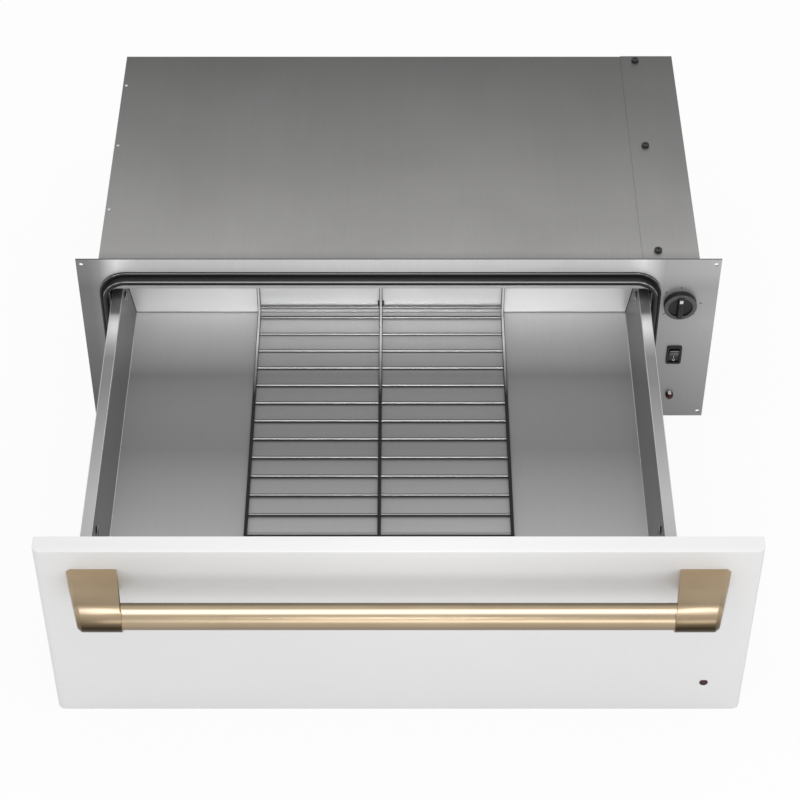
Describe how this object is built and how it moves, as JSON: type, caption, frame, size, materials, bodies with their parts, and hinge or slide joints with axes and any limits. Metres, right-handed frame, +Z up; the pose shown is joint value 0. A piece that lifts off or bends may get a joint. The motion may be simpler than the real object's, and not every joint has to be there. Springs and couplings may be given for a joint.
{
  "type": "built-in warming drawer",
  "caption": "Built-in warming drawer with a pull-out pan and wire rack, a bar handle, a gasketed face frame, and a knob, rocker switch and lamp at the right.",
  "frame": {"origin": "centre of the face frame's four screw holes, on the frame's rear face", "axes": "+X to the right of someone who faces the drawer, +Y into the cabinet, +Z up"},
  "size_m": [0.7556, 0.9652, 0.269],
  "materials": {
    "stainless": "brushed stainless steel",
    "white_enamel": "matt white enamel",
    "pan_steel": "satin stainless steel",
    "liner_steel": "satin steel",
    "galvanised_sheet": "galvanised steel sheet",
    "zinc_steel": "zinc plated",
    "ball_steel": "polished balls in a plated cage",
    "brushed_bronze": "fine brushed bronze",
    "rack_chrome": "bright chrome plate",
    "black_rubber": "matt silicone rubber",
    "black_plastic": "satin black",
    "red_plastic": "dark red, clear",
    "lamp_plastic": "off-white",
    "dark_screw": "blackened steel",
    "rivet_aluminium": "bare",
    "glass_wool": "glass wool",
    "element_sheath": "heat-tinted sheath",
    "copper": "drawn copper",
    "terminal_ceramic": "unglazed steatite",
    "terminal_brass": "turned brass",
    "wire_sleeve": "silicone sleeve"
  },
  "bodies": {
    "housing": {"face_frame": "stainless", "cavity_liner": "liner_steel", "cavity_back": "liner_steel", "element_posts": "liner_steel", "bulb_clips": "liner_steel", "slide_spacers": "liner_steel", "case_left_side": "galvanised_sheet", "case_right_side": "galvanised_sheet", "case_base": "galvanised_sheet", "case_top": "galvanised_sheet", "control_bay_cover": "galvanised_sheet", "case_back": "galvanised_sheet", "bay_divider": "galvanised_sheet", "slide_outer_left": "zinc_steel", "slide_outer_right": "zinc_steel", "thermostat_body": "zinc_steel", "door_gasket": "black_rubber", "rocker_housing": "black_plastic", "supply_bushing": "black_plastic", "lamp_lens": "red_plastic", "lamp_body": "lamp_plastic", "cover_screws": "dark_screw", "case_rivets": "rivet_aluminium", "insulation_left": "glass_wool", "insulation_right": "glass_wool", "insulation_roof": "glass_wool", "insulation_floor": "glass_wool", "insulation_back": "glass_wool", "heating_element": "element_sheath", "sensing_bulb": "copper", "capillary": "copper", "terminal_block": "terminal_ceramic", "terminal_screws": "terminal_brass", "internal_wires": "wire_sleeve"},
    "drawer": {"drawer_pan": "pan_steel", "drawer_rail_left": "galvanised_sheet", "drawer_rail_right": "galvanised_sheet", "slide_inner_left": "zinc_steel", "slide_inner_right": "zinc_steel", "panel_skin": "white_enamel", "panel_inner": "galvanised_sheet", "panel_insulation": "glass_wool", "panel_window": "red_plastic", "panel_screws": "zinc_steel", "handle_bracket_left": "brushed_bronze", "handle_bracket_right": "brushed_bronze", "handle_tube": "brushed_bronze", "handle_screws": "zinc_steel", "rack_long_wires": "rack_chrome", "rack_cross_wires": "rack_chrome", "rack_retainer": "black_rubber"},
    "middle_slide_left": {"slide_middle_left": "zinc_steel"},
    "inner_cage_left": {"inner_ball_cage_left": "ball_steel"},
    "outer_cage_left": {"outer_ball_cage_left": "ball_steel"},
    "middle_slide_right": {"slide_middle_right": "zinc_steel"},
    "inner_cage_right": {"inner_ball_cage_right": "ball_steel"},
    "outer_cage_right": {"outer_ball_cage_right": "ball_steel"},
    "knob": {"control_knob": "black_plastic", "knob_shaft": "zinc_steel"},
    "rocker": {"rocker_paddle": "black_plastic"}
  },
  "joints": [
    {"name": "drawer_slide", "type": "slide", "parent": "housing", "child": "drawer", "axis": [0, 1, 0], "range_m": [0, 0.412]},
    {"name": "middle_slide_run_left", "type": "slide", "parent": "housing", "child": "middle_slide_left", "axis": [0, 1, 0], "range_m": [0, 0.2061]},
    {"name": "inner_cage_run_left", "type": "slide", "parent": "housing", "child": "inner_cage_left", "axis": [0, 1, 0], "range_m": [0, 0.3091]},
    {"name": "outer_cage_run_left", "type": "slide", "parent": "housing", "child": "outer_cage_left", "axis": [0, 1, 0], "range_m": [0, 0.1031]},
    {"name": "middle_slide_run_right", "type": "slide", "parent": "housing", "child": "middle_slide_right", "axis": [0, 1, 0], "range_m": [0, 0.2061]},
    {"name": "inner_cage_run_right", "type": "slide", "parent": "housing", "child": "inner_cage_right", "axis": [0, 1, 0], "range_m": [0, 0.3091]},
    {"name": "outer_cage_run_right", "type": "slide", "parent": "housing", "child": "outer_cage_right", "axis": [0, 1, 0], "range_m": [0, 0.1031]},
    {"name": "knob_turn", "type": "hinge", "parent": "housing", "child": "knob", "pos_m": [0.3336, 0, 0.0605], "axis": [0, 1, 0], "range_deg": [0, 270]},
    {"name": "rocker_tip", "type": "hinge", "parent": "housing", "child": "rocker", "pos_m": [0.3336, 0.0015, -0.024], "axis": [1, 0, 0], "range_deg": [-14, 0]}
  ],
  "couplings": [
    {"joint": "middle_slide_run_left", "follows": "drawer_slide", "ratio": 0.5},
    {"joint": "inner_cage_run_left", "follows": "drawer_slide", "ratio": 0.75},
    {"joint": "outer_cage_run_left", "follows": "drawer_slide", "ratio": 0.25},
    {"joint": "middle_slide_run_right", "follows": "drawer_slide", "ratio": 0.5},
    {"joint": "inner_cage_run_right", "follows": "drawer_slide", "ratio": 0.75},
    {"joint": "outer_cage_run_right", "follows": "drawer_slide", "ratio": 0.25}
  ]
}
